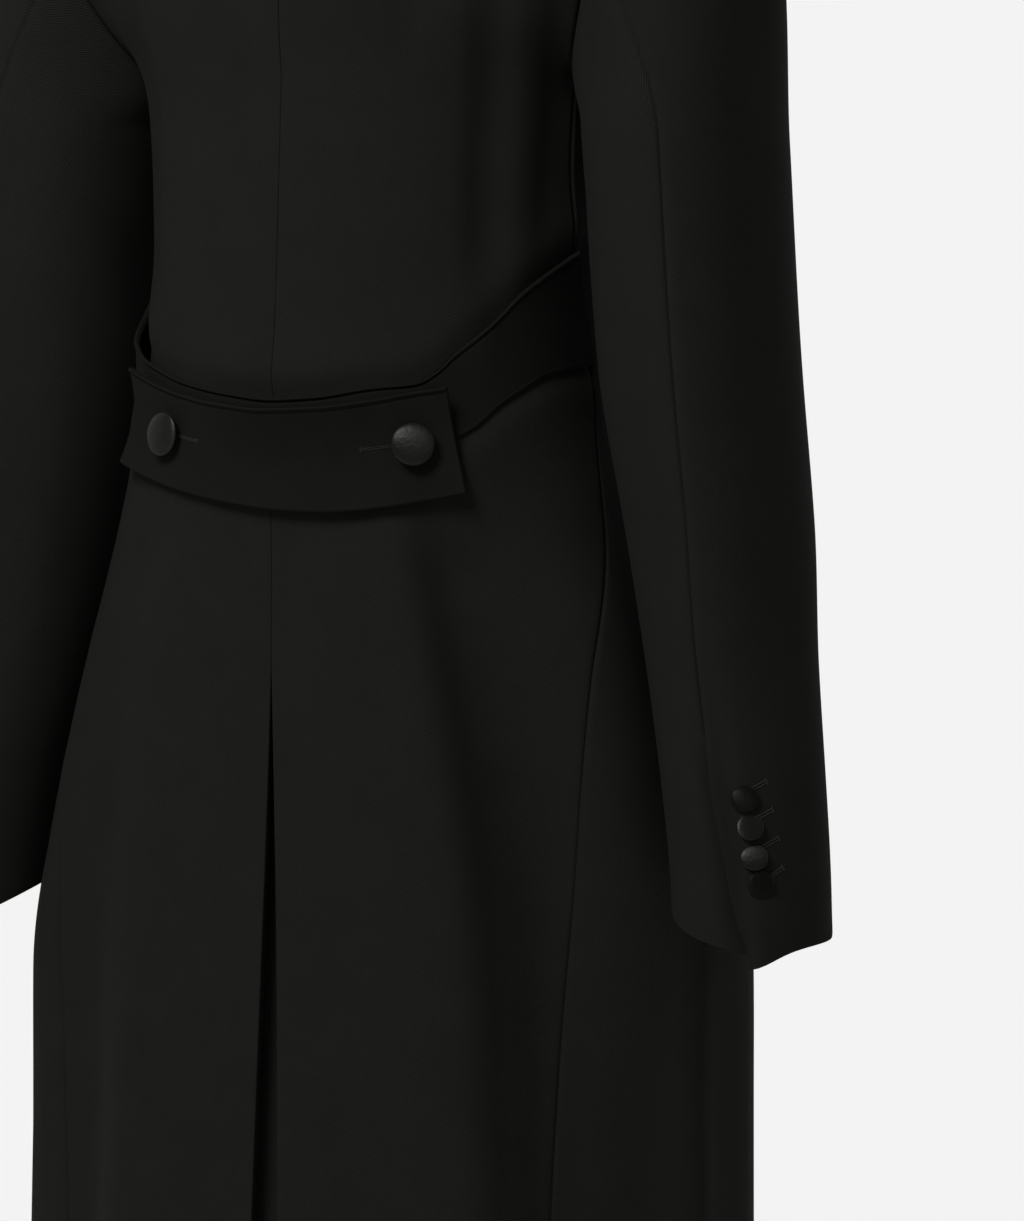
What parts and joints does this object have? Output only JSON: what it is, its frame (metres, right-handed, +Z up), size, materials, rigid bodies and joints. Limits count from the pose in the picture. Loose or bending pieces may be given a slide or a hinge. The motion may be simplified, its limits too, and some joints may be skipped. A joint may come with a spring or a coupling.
{
  "type": "tuxedo coat",
  "caption": "Knee-length formal wool coat, fitted at the waist, with an inverted back pleat, a buttoned half belt, two-piece sleeves with buttoned vents and peaked satin lapels.",
  "frame": {"origin": "on the line of the shoulders at the middle of the neck, where the wearer's shoulders carry the coat", "axes": "+Z up, the front faces -Y, so the back faces +Y and the wearer's right side is at -X"},
  "size_m": [0.5796, 0.3307, 1.0714],
  "materials": {
    "wool": "black fine twill wool",
    "satin": "black satin"
  },
  "bodies": {
    "root": {"back_left": "wool", "back_right": "wool", "side_left": "wool", "side_right": "wool", "front_left": "wool", "front_right": "wool", "top_sleeve_left": "wool", "top_sleeve_right": "wool", "under_sleeve_left": "wool", "under_sleeve_right": "wool", "pleat_underlay": "wool", "belt_under": "wool", "belt_tab": "wool", "collar": "wool", "lapel_left": "satin", "lapel_right": "satin", "belt_button_1": "satin", "belt_button_2": "satin", "cuff_button_left_1": "satin", "cuff_button_left_2": "satin", "cuff_button_left_3": "satin", "cuff_button_left_4": "satin", "cuff_button_right_1": "satin", "cuff_button_right_2": "satin", "cuff_button_right_3": "satin", "cuff_button_right_4": "satin", "front_button_1": "satin", "front_button_2": "satin"}
  },
  "joints": []
}
